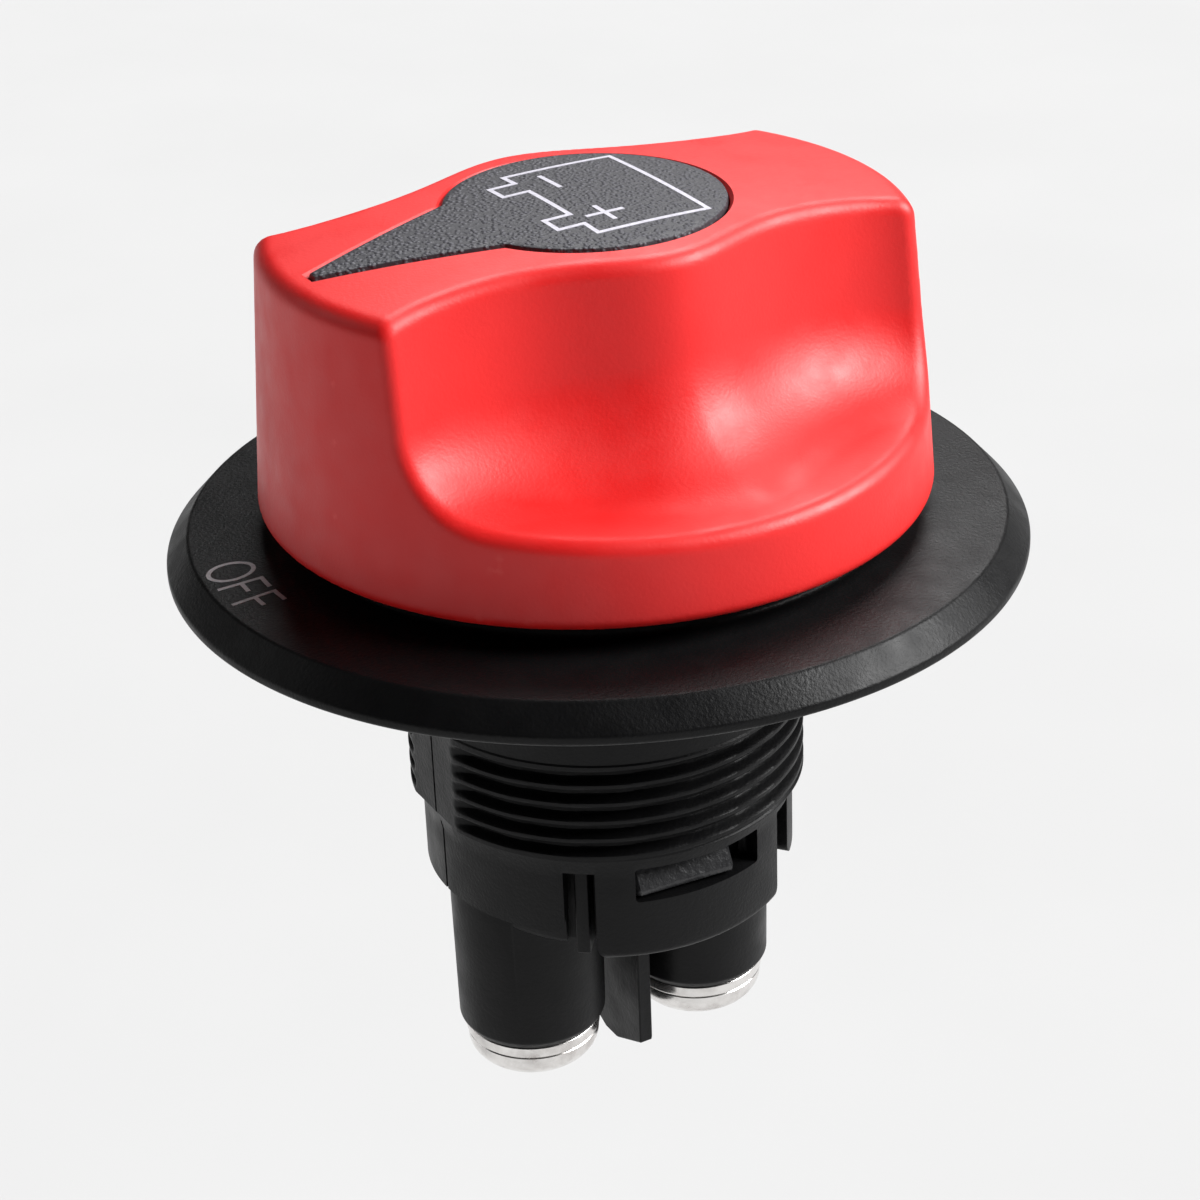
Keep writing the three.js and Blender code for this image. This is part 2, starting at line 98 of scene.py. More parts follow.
# Sizes that the frame's boxes don't give, the same as in the CAD source.
NECK_R = 17.2
SKIRT_R = 16.2
CHAMBER_R = 14.2
THREAD_PITCH = 1.7
THREAD_TOP = -13.0
THREAD_LOW = THREAD_TOP - 5 * THREAD_PITCH
THREAD_FLAT = 16.75
BEVEL_R = 34.1
FLANGE_TOP = 3.2
FLANGE_TOP_INNER = 3.7
COLLAR_R = 25.2
GROOVE_R = 18.7
SHAFT_HOLE_R = 7.2
CEILING = 2.0
KNOB_TOP_R = 26.4
CROWN_R = 186.0
CAVITY_CEILING = 9.0
GRIP_FLOOR = 12.2
SKIRT_LOW = -29.5
WINDOW = (-6.0, 6.0, -26.4, -23.1)
SLOT_TOP = -23.4
SLOT_ANGLE = math.radians(38.5)
SLOT_WIDTH = 2.7
GUIDE_R = 12.2
PLUG_R = 13.8
GUIDE_TOP = -8.2
KEYWAY_LOW = -17.6
FLOOR_TOP = -27.5
FLOOR_LOW = -32.2
FIN_HALF = 5.4
HOOK_SPAN = (-3.4, 5.7)
POST_SHOULDER = -28.8
POST_NECK_R = 3.3
POST_BORE_R = 3.0
POST_BORE_TOP = -33.0

# Details that the CAD source doesn't have, or has at another size.
THREAD_FADE = (math.radians(12.5), math.radians(18.5))
SEAM_DEPTH = 0.12
SEAM_HALF = 0.14
HOOK_OUT = 2.7
RIB_OUT = 15.2

# How far the camera stands round the part's vertical axis, in degrees.
CAMERA_TURN = -28.7


# ---------------------------------------------------------------- mesh helpers

def make_object(name, vertices, faces, smooth=30):
    """A mesh object from points in millimetres, shaded smooth below the given angle between faces."""
    mesh = bpy.data.meshes.new(name)
    mesh.from_pydata((np.asarray(vertices, float) * MM).tolist(), [], [tuple(f) for f in faces])
    obj = bpy.data.objects.new(name, mesh)
    bpy.context.scene.collection.objects.link(obj)
    clean(obj, smooth)
    return obj


def clean(obj, smooth=30):
    """Merges doubled points, turns the faces outwards and shades smooth."""
    bm = bmesh.new()
    bm.from_mesh(obj.data)
    bmesh.ops.remove_doubles(bm, verts=bm.verts, dist=1e-7)
    bmesh.ops.recalc_face_normals(bm, faces=bm.faces)
    bm.to_mesh(obj.data)
    bm.free()
    shade(obj, smooth)


def shade(obj, smooth):
    obj.data.polygons.foreach_set("use_smooth", [True] * len(obj.data.polygons))
    obj.data.set_sharp_from_angle(angle=math.radians(smooth))


def bake_modifiers(obj):
    """Replaces the object's mesh with what its modifiers make of it."""
    bpy.context.view_layer.update()
    done = obj.evaluated_get(bpy.context.evaluated_depsgraph_get())
    mesh = bpy.data.meshes.new_from_object(done)
    obj.modifiers.clear()
    obj.data = mesh


def combine(obj, tool, operation="DIFFERENCE", smooth=30):
    """Cuts or joins a tool object, which is used up."""
    modifier = obj.modifiers.new("combine", "BOOLEAN")
    modifier.operation = operation
    modifier.solver = "EXACT"
    modifier.object = tool
    bake_modifiers(obj)
    bpy.data.objects.remove(tool)
    shade(obj, smooth)


def merged(name, objects):
    """One object from several that don't meet."""
    bm = bmesh.new()
    for obj in objects:
        obj.data.transform(obj.matrix_world)
        bm.from_mesh(obj.data)
        bpy.data.objects.remove(obj)
    mesh = bpy.data.meshes.new(name)
    bm.to_mesh(mesh)
    bm.free()
    whole = bpy.data.objects.new(name, mesh)
    bpy.context.scene.collection.objects.link(whole)
    return whole


def moved(obj, x=0.0, y=0.0, z=0.0, turn=0.0):
    """Turns an object's mesh about Z, then moves it, in millimetres."""
    obj.data.transform(Matrix.Translation(Vector((x, y, z)) * MM) @ Matrix.Rotation(turn, 4, "Z"))
    return obj


def soften(corners, steps=5, closed=True):
    """An outline with its corners rounded. A corner is (x, y) or (x, y, radius)."""
    points = []
    count = len(corners)
    for i, corner in enumerate(corners):
        here = np.array(corner[:2], float)
        radius = corner[2] if len(corner) > 2 else 0.0
        if radius <= 0 or (not closed and i in (0, count - 1)):
            points.append(here)
            continue
        before = np.array(corners[i - 1][:2], float) - here
        after = np.array(corners[(i + 1) % count][:2], float) - here
        before_length, after_length = np.linalg.norm(before), np.linalg.norm(after)
        before, after = before / before_length, after / after_length
        half = math.acos(np.clip(before @ after, -1, 1)) / 2
        setback = min(radius / math.tan(half), 0.48 * before_length, 0.48 * after_length)
        radius = setback * math.tan(half)
        middle = (before + after) / np.linalg.norm(before + after)
        centre = here + middle * radius / math.sin(half)
        start, end = here + before * setback - centre, here + after * setback - centre
        sweep = math.pi - 2 * half
        for step in range(steps + 1):
            t = step / steps
            spoke = start * math.sin((1 - t) * sweep) + end * math.sin(t * sweep)
            points.append(centre + spoke / math.sin(sweep))
    return points


def grid_faces(rows, columns, wrap_rows):
    """Quads of a grid of points whose columns close on themselves."""
    faces = []
    for i in range(rows if wrap_rows else rows - 1):
        for j in range(columns):
            here, up = i * columns, ((i + 1) % rows) * columns
            right = (j + 1) % columns
            faces.append((here + j, here + right, up + right, up + j))
    return faces


def revolve(name, profile, sides=96, warp=None, smooth=30):
    """A profile of (radius, height) turned about Z. It closes on itself, or starts and ends on the axis."""
    profile = np.array([p[:2] for p in profile], float)
    angles = np.linspace(0, 2 * math.pi, sides, endpoint=False)
    radius = np.repeat(profile[:, :1], sides, axis=1)
    height = np.repeat(profile[:, 1:], sides, axis=1)
    turn = np.repeat(angles[None, :], len(profile), axis=0)
    if warp:
        radius, height = warp(radius, height, turn)
    points = np.stack([radius * np.cos(turn), radius * np.sin(turn), height], axis=-1).reshape(-1, 3)
    on_axis = abs(profile[0, 0]) < 1e-6 and abs(profile[-1, 0]) < 1e-6
    return make_object(name, points, grid_faces(len(profile), sides, not on_axis), smooth)


def box_object(name, low, high, bevel=0.0):
    """A box from its corners in millimetres, with rounded edges."""
    bm = bmesh.new()
    size = Vector(high) - Vector(low)
    place = Matrix.Translation((Vector(low) + Vector(high)) / 2 * MM) @ Matrix.Diagonal((*(size * MM), 1))
    bmesh.ops.create_cube(bm, size=1, matrix=place)
    if bevel:
        edges = bm.edges[:]
        bmesh.ops.bevel(bm, geom=edges, offset=bevel * MM, segments=3, profile=0.5, affect="EDGES")
    mesh = bpy.data.meshes.new(name)
    bm.to_mesh(mesh)
    bm.free()
    obj = bpy.data.objects.new(name, mesh)
    bpy.context.scene.collection.objects.link(obj)
    shade(obj, 30)
    return obj


def layers(name, outlines, place, smooth=30):
    """A closed body through outlines with equal numbers of points. place(u, v, i) puts a point in space."""
    points = [place(u, v, i) for i, outline in enumerate(outlines) for u, v in outline]
    size = len(outlines[0])
    faces = grid_faces(len(outlines), size, False)
    faces.append(tuple(range(size))[::-1])
    faces.append(tuple(range(len(points) - size, len(points))))
    return make_object(name, points, faces, smooth)


def strokes(name, lines, width, place, height=0.05, depth=0.06):
    """Thin raised lines: lists of (u, v) points and whether they close. place(u, v) is on the surface."""
    points, faces = [], []
    for line, closed in lines:
        line = np.array(line, float)
        count = len(line)
        before = line - np.roll(line, 1, axis=0)
        after = np.roll(line, -1, axis=0) - line
        if not closed:
            before[0], after[-1] = after[0], before[-1]
        before /= np.linalg.norm(before, axis=1)[:, None]
        after /= np.linalg.norm(after, axis=1)[:, None]
        along = before + after
        along /= np.linalg.norm(along, axis=1)[:, None]
        side = np.stack([-along[:, 1], along[:, 0]], axis=1)
        side /= np.maximum((along * before).sum(axis=1), 0.5)[:, None]
        first = len(points)
        for point, offset in zip(line, side * width / 2):
            left, right = place(*(point + offset)), place(*(point - offset))
            up, down = Vector((0, 0, height)), Vector((0, 0, -depth))
            points += [left + up, right + up, right + down, left + down]
        for i in range(count if closed else count - 1):
            here, there = first + 4 * i, first + 4 * ((i + 1) % count)
            faces += [(here + k, here + (k + 1) % 4, there + (k + 1) % 4, there + k) for k in range(4)]
        if not closed:
            end = first + 4 * (count - 1)
            faces += [tuple(first + k for k in (3, 2, 1, 0)), tuple(end + k for k in range(4))]
    return make_object(name, points, faces, 20)


def resampled(points, step, closed):
    """A polyline with extra points so that no stretch is longer than step."""
    ends = list(points[1:]) + ([points[0]] if closed else [])
    dense = []
    for start, end in zip(points, ends):
        pieces = max(1, math.ceil(math.dist(start, end) / step))
        for k in range(pieces):
            t = k / pieces
            dense.append((start[0] + (end[0] - start[0]) * t, start[1] + (end[1] - start[1]) * t))
    if not closed:
        dense.append(tuple(points[-1]))
    return dense


# ------------------------------------------------------------------- materials

class Nodes:
    """A material's node tree, with short ways to add nodes and links."""

    def __init__(self, name):
        self.material = bpy.data.materials.new(name)
        self.material.use_nodes = True
        self.tree = self.material.node_tree
        self.shader = self.tree.nodes["Principled BSDF"]
        self.place = self.add("ShaderNodeTexCoord").outputs["Object"]

    def add(self, kind, **settings):
        node = self.tree.nodes.new(kind)
        for key, value in settings.items():
            setattr(node, key, value)
        return node

    def link(self, source, target):
        self.tree.links.new(source, target)

    def noise(self, size, detail=2.0, roughness=0.5, stretch=None):
        """Noise whose features are about size millimetres across."""
        node = self.add("ShaderNodeTexNoise")
        node.inputs["Scale"].default_value = 1 / (size * MM)
        node.inputs["Detail"].default_value = detail
        node.inputs["Roughness"].default_value = roughness
        source = self.place
        if stretch:
            mapping = self.add("ShaderNodeMapping")
            mapping.inputs["Scale"].default_value = stretch
            self.link(source, mapping.inputs["Vector"])
            source = mapping.outputs["Vector"]
        self.link(source, node.inputs["Vector"])
        return node.outputs["Fac"]

    def cells(self, size):
        """Cells about size millimetres across: distance to each cell's middle."""
        node = self.add("ShaderNodeTexVoronoi")
        node.inputs["Scale"].default_value = 1 / (size * MM)
        self.link(self.place, node.inputs["Vector"])
        return node.outputs["Distance"]

    def ramp(self, source, low, high, start=0.0, end=1.0):
        """Maps a 0 to 1 value from start..end onto low..high."""
        node = self.add("ShaderNodeMapRange")
        for key, value in (("From Min", start), ("From Max", end), ("To Min", low), ("To Max", high)):
            node.inputs[key].default_value = value
        self.link(source, node.inputs["Value"])
        return node.outputs["Result"]

    def blend(self, factor, first, second):
        """A colour between two colours, or between the outputs of two nodes."""
        node = self.add("ShaderNodeMix", data_type="RGBA")
        self.link(factor, node.inputs["Factor"])
        for socket, value in ((node.inputs[6], first), (node.inputs[7], second)):
            if isinstance(value, tuple):
                socket.default_value = (*value, 1)
            else:
                self.link(value, socket)
        return node.outputs[2]

    def bump(self, height, depth, before=None):
        """Bump of a height map, depth in millimetres, on top of an earlier bump."""
        node = self.add("ShaderNodeBump")
        node.inputs["Distance"].default_value = depth * MM
        self.link(height, node.inputs["Height"])
        if before:
            self.link(before, node.inputs["Normal"])
        return node.outputs["Normal"]

    def edges(self):
        """1 on convex edges, 0 elsewhere."""
        node = self.add("ShaderNodeNewGeometry")
        return self.ramp(node.outputs["Pointiness"], 0, 1, 0.58, 0.7)

    def colour(self, source):
        self.link(source, self.shader.inputs["Base Color"])

    def roughness(self, source):
        self.link(source, self.shader.inputs["Roughness"])

    def normal(self, source):
        self.link(source, self.shader.inputs["Normal"])


def plastic(name, colour, dark, worn, roughness, grain, depth, specular=0.5):
    """Moulded plastic: mottled colour, fine mould grain, and paler rubbed edges."""
    n = Nodes(name)
    mottle = n.noise(9, detail=4)
    body = n.blend(n.ramp(mottle, 0, 1, 0.3, 0.7), dark, colour)
    rub = n.noise(1.6, detail=5, roughness=0.65)
    wear = n.add("ShaderNodeMath", operation="MULTIPLY")
    n.link(n.edges(), wear.inputs[0])
    n.link(n.ramp(rub, 0.1, 0.85, 0.35, 0.7), wear.inputs[1])
    n.colour(n.blend(wear.outputs[0], body, worn))
    fine = n.noise(grain, detail=3, roughness=0.6)
    n.roughness(n.ramp(n.noise(3, detail=5), roughness - 0.06, roughness + 0.07, 0.3, 0.7))
    n.normal(n.bump(fine, depth))
    n.shader.inputs["Specular IOR Level"].default_value = specular
    return n.material


def grained_plate_with_painted_highlight(name):
    """Coarse-textured dark grey plate: pebbled cells whose tops are painted paler as a highlight, broken up
    by random speckle.
    """
    n = Nodes(name)
    tops_bump_and_painted_highlight = n.ramp(n.cells(0.42), 1, 0, 0.05, 0.55)
    speck = n.noise(0.5, detail=4, roughness=0.7)
    # Painted highlight: the pebbles' tops are painted paler, broken up by random speckle.
    mixed = n.add("ShaderNodeMath", operation="MULTIPLY")
    n.link(tops_bump_and_painted_highlight, mixed.inputs[0])
    n.link(n.ramp(speck, 0.25, 1.0, 0.35, 0.68), mixed.inputs[1])
    n.colour(n.blend(mixed.outputs[0], (0.032, 0.031, 0.038), (0.115, 0.112, 0.135)))
    n.roughness(n.ramp(speck, 0.42, 0.62))
    n.normal(n.bump(speck, 0.05, n.bump(tops_bump_and_painted_highlight, 0.09)))
    return n.material


def metal(name, colour, tarnish, roughness, stretch=(1, 1, 6), scratch=0.008):
    """Plated or turned metal: faint clouding, fine tool marks and dulled patches."""
    n = Nodes(name)
    n.shader.inputs["Metallic"].default_value = 1
    cloud = n.noise(2.2, detail=5, roughness=0.6)
    n.colour(n.blend(n.ramp(cloud, 0, 1, 0.42, 0.72), colour, tarnish))
    n.roughness(n.ramp(cloud, roughness - 0.05, roughness + 0.12, 0.3, 0.8))
    marks = n.noise(0.5, detail=4, roughness=0.7, stretch=stretch)
    n.normal(n.bump(marks, scratch))
    return n.material


def rubber(name):
    """Matt black rubber with a little dust."""
    n = Nodes(name)
    dust = n.noise(1.4, detail=6, roughness=0.7)
    n.colour(n.blend(n.ramp(dust, 0, 1, 0.5, 0.8), (0.012, 0.012, 0.012), (0.035, 0.034, 0.032)))
    n.roughness(n.ramp(dust, 0.72, 0.9))
    n.normal(n.bump(n.noise(0.25, detail=3), 0.02))
    return n.material


def ink(name, colour):
    """Printed or filled lettering: slightly uneven cover."""
    n = Nodes(name)
    thin = n.noise(0.35, detail=3)
    n.colour(n.blend(n.ramp(thin, 0, 1, 0.35, 0.75), colour, tuple(c * 0.72 for c in colour)))
    n.roughness(n.ramp(thin, 0.4, 0.6))
    n.normal(n.bump(thin, 0.01))
    return n.material


red = plastic(
    "red_moulding", (0.8, 0.013, 0.012), dark=(0.74, 0.011, 0.011), worn=(0.9, 0.08, 0.07),
    roughness=0.46, grain=0.3, depth=0.02, specular=0.46)
black = plastic(
    "black_moulding", (0.0045, 0.0045, 0.0048), dark=(0.003, 0.003, 0.0033), worn=(0.016, 0.016, 0.017),
    roughness=0.43, grain=0.32, depth=0.045, specular=0.17)
base_black = plastic(
    "base_moulding", (0.0045, 0.0045, 0.0048), dark=(0.003, 0.003, 0.0033), worn=(0.014, 0.014, 0.015),
    roughness=0.43, grain=0.4, depth=0.03, specular=0.17)
# A paler copy of the base's black for the snap hooks: painted highlight on their faces.
hook_black_painted_highlight = plastic(
    "hook_moulding_painted_highlight", (0.03, 0.03, 0.032), dark=(0.014, 0.014, 0.015), worn=(0.12, 0.12, 0.125),
    roughness=0.34, grain=0.9, depth=0.12)
ivory = plastic(
    "ivory_moulding", (0.62, 0.58, 0.48), dark=(0.54, 0.5, 0.4), worn=(0.7, 0.67, 0.6),
    roughness=0.45, grain=0.4, depth=0.01)
plate = grained_plate_with_painted_highlight("insert_grain_and_painted_highlight")
symbol_ink = ink("symbol_ink", (0.62, 0.6, 0.68))
label_ink = ink("label_ink", (0.42, 0.42, 0.44))
nickel = metal("nickel_plate", (0.82, 0.8, 0.78), (0.55, 0.52, 0.5), 0.22, scratch=0.005)
brass = metal("turned_brass", (0.72, 0.52, 0.22), (0.45, 0.3, 0.12), 0.28)
copper = metal("bridge_copper", (0.75, 0.36, 0.2), (0.4, 0.18, 0.1), 0.3, stretch=(8, 1, 1))
silver = metal("contact_silver", (0.88, 0.87, 0.84), (0.6, 0.58, 0.54), 0.3)
steel = metal("spring_steel", (0.5, 0.5, 0.51), (0.3, 0.3, 0.31), 0.3)
seal = rubber("seal_rubber")


def finish_piece(obj, material, body, slot, *replaced):
    """Gives a piece its material and its body, and hides the CAD nodes that it stands for. The slot is not
    used.
    """
    obj.data.materials.clear()
    obj.data.materials.append(material)
    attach(obj, body)
    if replaced:
        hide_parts(*replaced)
    return obj


# ------------------------------------------------------------------------ knob

def crown(radius):
    """Height of the knob's domed top."""
    return KNOB_TOP - radius**2 / (2 * CROWN_R)


def meet(a, b, radius):
    """Distance to where two bodies are both solid, with a rounded edge."""
    rounded = np.hypot(np.maximum(radius + a, 0), np.maximum(radius + b, 0))
    return np.minimum(-radius, np.maximum(a, b)) + rounded


def either(a, b, radius):
    """Distance to the union of two bodies, with a filleted corner."""
    rounded = np.hypot(np.maximum(radius - a, 0), np.maximum(radius - b, 0))
    return np.maximum(radius, np.minimum(a, b)) - rounded


def bar_half_width(s):
    """Half the width of the grip bar's top at a distance along it: waisted, bulged in the middle."""
    waist = 10.2
    bulge = 4.3 * np.exp(-((s / 8.6) ** 2))
    flare = 1.3 * (np.minimum(np.abs(s), 24) / 23) ** 8
    return waist + bulge + flare


def knob_distance(p):
    """About the distance from the knob's outer surface, in millimetres, negative inside."""
    x, y, z = p.T
    radius = np.hypot(x, y)
    wall_slope = (KNOB_R - KNOB_TOP_R) / (crown(KNOB_TOP_R) - KNOB_LOW)
    side = (radius - (KNOB_R - wall_slope * (z - KNOB_LOW))) / math.hypot(1, wall_slope)
    top = z - crown(radius)
    draft, floor_slope = 0.14, 0.1
    lean = (bar_half_width(x + 0.05) - bar_half_width(x - 0.05)) / 0.1
    bar = (np.abs(y) - bar_half_width(x) - draft * (KNOB_TOP - z)) / np.sqrt(1 + draft**2 + lean**2)
    floor = (z - GRIP_FLOOR - floor_slope * (KNOB_R - np.abs(y))) / math.hypot(1, floor_slope)
    fillet = 8.3 - 2.3 * np.minimum(1, np.abs(x) / 22)
    top_edge, rim_edge, bar_edge = 1.3, 0.9, 1.1
    grip = either(bar, floor, fillet)
    body = meet(meet(side, top, top_edge), KNOB_LOW - z, rim_edge)
    return meet(body, grip, bar_edge)


def settle(points, distance, rounds):
    """Moves points straight onto a surface by Newton steps."""
    step = 0.01
    for _ in range(rounds):
        here = distance(points)
        rises = [distance(points + step * axis) - distance(points - step * axis) for axis in np.eye(3)]
        slope = np.stack(rises, axis=1)
        slope /= 2 * step
        points = points - here[:, None] * slope / np.maximum((slope**2).sum(axis=1), 0.1)[:, None]
    return points


def knob_surface(name, cell):
    """The knob's outer surface as an even mesh of square cells."""
    bm = bmesh.new()
    bmesh.ops.create_icosphere(bm, subdivisions=6, radius=1)
    rays = np.array([v.co for v in bm.verts])
    faces = [[v.index for v in f.verts] for f in bm.faces]
    bm.free()
    middle = np.array([0, 0, 9.0])
    near, far = np.zeros(len(rays)), np.full(len(rays), 60.0)
    for _ in range(24):
        half = (near + far) / 2
        outside = knob_distance(middle + rays * half[:, None]) > 0
        far, near = np.where(outside, half, far), np.where(outside, near, half)
    # The remesher works on the mesh's own numbers, so it sees millimetres here.
    mesh = bpy.data.meshes.new(name)
    mesh.from_pydata((middle + rays * near[:, None]).tolist(), [], faces)
    obj = bpy.data.objects.new(name, mesh)
    bpy.context.scene.collection.objects.link(obj)
    remesh = obj.modifiers.new("even", "REMESH")
    remesh.mode = "VOXEL"
    remesh.voxel_size = cell
    bake_modifiers(obj)
    count = len(obj.data.vertices)
    points = np.empty(count * 3)
    obj.data.vertices.foreach_get("co", points)
    points = settle(points.reshape(-1, 3), knob_distance, 4)
    edges = np.empty(len(obj.data.edges) * 2, int)
    obj.data.edges.foreach_get("vertices", edges)
    edges = edges.reshape(-1, 2)
    valence = np.bincount(edges.ravel(), minlength=count)[:, None]
    for _ in range(6):
        total = np.zeros_like(points)
        np.add.at(total, edges[:, 0], points[edges[:, 1]])
        np.add.at(total, edges[:, 1], points[edges[:, 0]])
        points = settle((points + total / valence) / 2, knob_distance, 2)
    obj.data.vertices.foreach_set("co", (points * MM).ravel())
    shade(obj, 40)
    return obj


def insert_outline(grow, arc_steps=72, side_steps=24):
    """The round insert with its pointer along -X, let out by grow."""
    neck_half = 5.4 + grow
    radius = INSERT_R + grow
    tip_half = 0.5 + grow
    tip = -POINTER_TIP - grow
    meets = math.pi - math.asin(neck_half / radius)
    corner_x = radius * math.cos(meets)
    side = []
    for k in range(side_steps):
        x = tip + (corner_x - tip) * k / side_steps
        side.append((x, tip_half + (neck_half - tip_half) * k / side_steps))
    arc = [-meets + 2 * meets * k / arc_steps for k in range(arc_steps + 1)]
    lower = [(x, -y) for x, y in side]
    return lower + [(radius * math.cos(a), radius * math.sin(a)) for a in arc] + side[::-1]


def crowned_layers(name, levels):
    """A plate through insert outlines, each (grow, depth): depth is measured up from the knob's crown."""
    outlines = [insert_outline(grow) for grow, _ in levels]
    return layers(name, outlines, lambda u, v, i: (u, v, crown(math.hypot(u, v)) + levels[i][1]))


def fan_cap(obj):
    """Splits the big flat ends of a plate so that they follow the crown."""
    bm = bmesh.new()
    bm.from_mesh(obj.data)
    big = [f for f in bm.faces if len(f.verts) > 4]
    bmesh.ops.triangulate(bm, faces=big)
    bm.to_mesh(obj.data)
    bm.free()


def plate_surface(name, levels, cell=0.8):
    """Insert plate whose top and bottom are meshed inside and follow the crown."""
    obj = crowned_layers(name, levels)
    bm = bmesh.new()
    bm.from_mesh(obj.data)
    for face in [f for f in bm.faces if len(f.verts) > 4]:
        outline = [v.co.copy() for v in face.verts]
        upward = face.normal.z > 0
        depth = levels[-1][1] if upward else levels[0][1]
        bmesh.ops.delete(bm, geom=[face], context="FACES_ONLY")
        fill_crown(bm, outline, depth, cell)
    bmesh.ops.remove_doubles(bm, verts=bm.verts, dist=1e-7)
    bmesh.ops.recalc_face_normals(bm, faces=bm.faces)
    bm.to_mesh(obj.data)
    bm.free()
    shade(obj, 35)
    return obj


def fill_crown(bm, outline, depth, cell):
    """Closes an outline with a triangle mesh whose inner points lie on the crown."""
    rim = [Vector((p.x, p.y)) for p in outline]
    count = len(rim)
    xs, ys = [p.x for p in rim], [p.y for p in rim]
    step = cell * MM
    inner = []
    for i in range(int((max(xs) - min(xs)) / step) + 1):
        for j in range(int((max(ys) - min(ys)) / step) + 1):
            spot = Vector((min(xs) + (i + 0.5 * (j % 2)) * step, min(ys) + j * step))
            if inside(spot, rim) and min((spot - p).length for p in rim) > 0.45 * step:
                inner.append(spot)
    made = delaunay_2d_cdt(rim + inner, [], [list(range(count))], 1, 1e-9)
    spots, faces = made[0], made[2]
    verts = []
    for spot in spots:
        height = (crown(spot.length / MM) + depth) * MM
        verts.append(bm.verts.new((spot.x, spot.y, height)))
    for face in faces:
        bm.faces.new([verts[k] for k in face])


def inside(spot, rim):
    """True if a point is inside a closed outline."""
    odd = False
    for a, b in zip(rim, rim[1:] + rim[:1]):
        if (a.y > spot.y) != (b.y > spot.y) and spot.x < a.x + (b.x - a.x) * (spot.y - a.y) / (b.y - a.y):
            odd = not odd
    return odd


def build_knob():
    build_knob_shell()
    build_insert()
    build_symbol()


def build_knob_shell():
    """The red moulding, with a recess for the insert and a hollow over the collar."""
    shell = knob_surface("knob_shell", 0.36)
    gap = INSERT_GAP
    levels = [(gap, -INSERT_THICKNESS), (gap, -0.35), (gap + 0.3, 0.02), (gap + 0.5, 0.6)]
    recess = crowned_layers("recess", levels)
    fan_cap(recess)
    combine(shell, recess, smooth=40)
    hollow_r = COLLAR_R + 0.4
    cavity = soften([
        (0, KNOB_LOW - 1), (hollow_r, KNOB_LOW - 1), (hollow_r, CAVITY_CEILING, 0.8), (0, CAVITY_CEILING),
    ], closed=False)
    combine(shell, revolve("cavity", cavity, 128), smooth=40)
    finish_piece(shell, red, "knob", "knob_plastic", "knob")


def build_insert():
    """The grained plate with rounded edges, standing a little proud of the crown."""
    foot, top = INSERT_PROUD - INSERT_THICKNESS, INSERT_PROUD
    levels = [(-0.1, foot), (0, foot + 0.15), (0, top - 0.2), (-0.06, top - 0.06), (-0.2, top)]
    finish_piece(plate_surface("insert_plate", levels), plate, "knob", "insert_plastic", "knob_insert")


def build_symbol():
    """A battery's outline with two posts, a plus and a minus, raised on the insert."""
    base_x, lid_x, post_x, half_y = 6.7, -3.2, -5.5, 7.8
    posts = ((5.8, 3.4), (-3.3, -5.6))
    case = [(base_x, -half_y), (base_x, half_y), (lid_x, half_y)]
    for high, low in posts:
        case += [(lid_x, high), (post_x, high), (post_x, low), (lid_x, low)]
    case.append((lid_x, -half_y))
    plus_x, plus_y, arm = -0.7, -4.4, 1.7
    minus_low, minus_high = 2.7, 6.3
    lines = [
        (resampled(case, 1.0, True), True),
        (resampled([(plus_x - arm, plus_y), (plus_x + arm, plus_y)], 1.0, False), False),
        (resampled([(plus_x, plus_y - arm), (plus_x, plus_y + arm)], 1.0, False), False),
        (resampled([(plus_x, minus_low), (plus_x, minus_high)], 1.0, False), False),
    ]

    def on_plate(u, v):
        return Vector((u, v, crown(math.hypot(u, v)) + INSERT_PROUD))

    symbol = strokes("battery_symbol", lines, 0.42, on_plate, height=0.03)
    finish_piece(symbol, symbol_ink, "knob", "insert_plastic")


# --------------------------------------------------------------------- housing

def eased(t):
    """A smooth step from 0 to 1."""
    t = np.clip(t, 0, 1)
    return t * t * (3 - 2 * t)


def thread_warp(radius, height, turn):
    """Cuts the helical thread, its flats and its run-outs into the neck."""
    neck = (radius > SKIRT_R + 0.1) & (radius < NECK_R + 0.1) & (height < -1) & (height > THREAD_LOW - 2.4)
    phase = (height - THREAD_TOP) / THREAD_PITCH - turn / (2 * math.pi)
    wave = np.abs((phase % 1) - 0.5) * 2
    root = eased((wave - 0.16) / 0.6)
    off_flat = np.arcsin(np.abs(np.sin(turn)))
    from_top = np.clip((THREAD_TOP + 0.3 - height) / 0.5, 0, 1)
    from_low = np.clip((height - THREAD_LOW) / 0.4, 0, 1)
    pad = np.clip((off_flat - THREAD_FADE[0]) / (THREAD_FADE[1] - THREAD_FADE[0]), 0, 1)
    cut = root * pad * from_top * from_low * (NECK_R - SKIRT_R - 0.05)
    flat = THREAD_FLAT / np.maximum(np.abs(np.cos(turn)), 0.5)
    return np.where(neck, np.minimum(radius - cut, flat), radius), height


